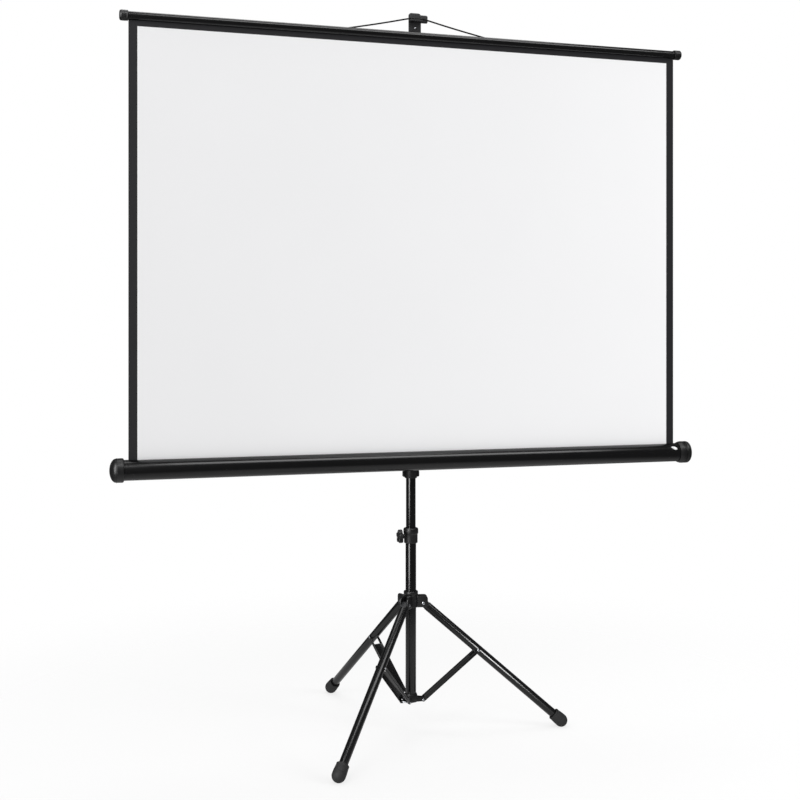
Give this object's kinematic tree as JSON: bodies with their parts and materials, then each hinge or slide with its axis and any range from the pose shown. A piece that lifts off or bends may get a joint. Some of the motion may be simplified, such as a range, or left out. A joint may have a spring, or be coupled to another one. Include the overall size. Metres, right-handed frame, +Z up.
{
  "type": "tripod projector screen",
  "caption": "Portable pull-up projector screen: white view with black borders on a slotted roller case, extending mast with hanger, folding tripod stand with boots",
  "frame": {"origin": "On the floor, in the middle of the part's bounding box; the mast's axis stands about 49 mm nearer the viewer than the origin, at y = -0.0493 m, because two of the three feet differ in reach", "axes": "+Z up along the mast, +X to the right as seen from the screen's front, the white view faces -Y"},
  "size_m": [1.865, 0.8579, 2.255],
  "materials": {
    "black_tube": "semi-gloss black stove enamel on steel tube",
    "black_plastic": "satin black moulded nylon",
    "grey_plastic": "dark grey moulded nylon",
    "black_rubber": "matt black rubber",
    "zinc_steel": "bright zinc plated steel",
    "white_cloth": "matt white projection cloth, black backed",
    "black_cloth": "matt black border of the projection cloth",
    "white_plastic": "white moulded plastic"
  },
  "bodies": {
    "stand": {"mast_tube_lower": "black_tube", "mast_plug": "black_plastic", "brace_spider": "black_plastic", "spider_pin_1": "zinc_steel", "spider_pin_2": "zinc_steel", "spider_pin_3": "zinc_steel", "height_clamp": "black_plastic"},
    "leg_hub_slide": {"leg_hub": "black_plastic", "hub_collar": "black_plastic", "hub_pin_1": "zinc_steel", "hub_pin_2": "zinc_steel", "hub_pin_3": "zinc_steel"},
    "bush": {"clamp_bush": "black_plastic"},
    "knob": {"height_knob": "black_plastic"},
    "upper_mast": {"mast_tube_upper": "black_tube", "rod_collar": "black_plastic", "case_bracket": "black_plastic", "case_pivot_bolt": "zinc_steel", "case_pivot_nut": "zinc_steel"},
    "button": {"rod_button": "grey_plastic"},
    "rod": {"extension_rod": "black_tube", "rod_hanger": "black_plastic", "hanger_rivet": "zinc_steel"},
    "case": {"case_tube": "black_tube", "case_saddle": "black_plastic", "case_cap_left": "black_plastic", "case_cap_right": "black_plastic", "roller_idle_pin": "zinc_steel", "roller_spring_pin": "zinc_steel", "case_clip": "white_plastic", "screen_view": "white_cloth", "border_left": "black_cloth", "border_right": "black_cloth"},
    "roller": {"roller_tube": "zinc_steel"},
    "top_bar": {"bar_tube": "black_tube", "border_top": "black_cloth", "bar_cap_left": "black_plastic", "bar_cap_right": "black_plastic", "bail_ear_left": "black_plastic", "bail_ear_right": "black_plastic"},
    "bail": {"bail_wire": "black_tube"},
    "leg_1": {"leg_eye_1": "grey_plastic", "leg_tube_1": "black_tube", "leg_boot_1": "black_rubber", "leg_lug_1": "black_plastic", "leg_rivet_1": "zinc_steel"},
    "brace_link_1": {"brace_1": "black_tube"},
    "leg_2": {"leg_eye_2": "grey_plastic", "leg_tube_2": "black_tube", "leg_boot_2": "black_rubber", "leg_lug_2": "black_plastic", "leg_rivet_2": "zinc_steel"},
    "brace_link_2": {"brace_2": "black_tube"},
    "leg_3": {"leg_eye_3": "grey_plastic", "leg_tube_3": "black_tube", "leg_boot_3": "black_rubber", "leg_lug_3": "black_plastic", "leg_rivet_3": "zinc_steel"},
    "brace_link_3": {"brace_3": "black_tube"}
  },
  "joints": [
    {"name": "tripod_fold", "type": "hinge", "parent": "stand", "child": "brace_link_1", "pos_m": [0.03818, -0.05726, 0.1], "axis": [-0.2045, -0.9789, 0], "range_deg": [0, 37.5]},
    {"name": "leg_1_hinge", "type": "hinge", "parent": "brace_link_1", "child": "leg_1", "pos_m": [0.20965, -0.09308, 0.2522], "axis": [0.2045, 0.9789, 0], "range_deg": [0, 76]},
    {"name": "hub_level", "type": "hinge", "parent": "leg_1", "child": "leg_hub_slide", "pos_m": [0.03818, -0.05726, 0.4044], "axis": [-0.2045, -0.9789, 0], "range_deg": [0, 38.5]},
    {"name": "leg_2_hinge", "type": "hinge", "parent": "leg_hub_slide", "child": "leg_2", "pos_m": [-0.01218, -0.01223, 0.4044], "axis": [-0.95, -0.3123, 0], "range_deg": [0, 38.5]},
    {"name": "leg_3_hinge", "type": "hinge", "parent": "leg_hub_slide", "child": "leg_3", "pos_m": [-0.026, -0.07836, 0.4044], "axis": [0.7455, -0.6665, 0], "range_deg": [0, 38.5]},
    {"name": "brace_2_hinge", "type": "hinge", "parent": "stand", "child": "brace_link_2", "pos_m": [-0.01218, -0.01223, 0.1], "axis": [0.95, 0.3123, 0], "range_deg": [0, 38.5]},
    {"name": "brace_3_hinge", "type": "hinge", "parent": "stand", "child": "brace_link_3", "pos_m": [-0.026, -0.07836, 0.1], "axis": [-0.7455, 0.6665, 0], "range_deg": [0, 38.5]},
    {"name": "knob_turn", "type": "hinge", "parent": "stand", "child": "knob", "pos_m": [-0.0262, -0.04928, 0.615], "axis": [-1, 0, 0], "continuous": true},
    {"name": "mast_swivel", "type": "hinge", "parent": "stand", "child": "bush", "pos_m": [0, -0.04928, 0.6348], "axis": [0, 0, 1], "continuous": true},
    {"name": "mast_slide", "type": "slide", "parent": "bush", "child": "upper_mast", "axis": [0, 0, 1], "range_m": [-0.15, 0.18]},
    {"name": "case_swivel", "type": "hinge", "parent": "upper_mast", "child": "case", "pos_m": [0, -0.10158, 0.8625], "axis": [0, -1, 0], "range_deg": [0, 72]},
    {"name": "button_press", "type": "slide", "parent": "upper_mast", "child": "button", "axis": [0, -1, 0], "range_m": [0, 0.003], "stiffness_N_per_m": 900, "springref_m": -0.002},
    {"name": "rod_slide", "type": "slide", "parent": "upper_mast", "child": "rod", "axis": [0, 0, -1], "range_m": [0, 0.75]},
    {"name": "screen_retract", "type": "slide", "parent": "case", "child": "top_bar", "axis": [0, 0, -1], "range_m": [0, 1.255], "deforming": ["screen_view", "border_left", "border_right"]},
    {"name": "roller_spin", "type": "hinge", "parent": "case", "child": "roller", "pos_m": [0, -0.12368, 0.8625], "axis": [1, 0, 0], "range_deg": [0, 5426.5]},
    {"name": "bail_swing", "type": "hinge", "parent": "top_bar", "child": "bail", "pos_m": [0, -0.12161, 2.18131], "axis": [1, 0, 0], "range_deg": [0, 50]}
  ],
  "couplings": [
    {"joint": "leg_1_hinge", "follows": "tripod_fold", "ratio": 2},
    {"joint": "hub_level", "follows": "tripod_fold", "ratio": 1},
    {"joint": "leg_2_hinge", "follows": "tripod_fold", "ratio": 1},
    {"joint": "leg_3_hinge", "follows": "tripod_fold", "ratio": 1},
    {"joint": "brace_2_hinge", "follows": "tripod_fold", "ratio": 1},
    {"joint": "brace_3_hinge", "follows": "tripod_fold", "ratio": 1},
    {"joint": "roller_spin", "follows": "screen_retract", "rad_per_m": 75.188}
  ]
}
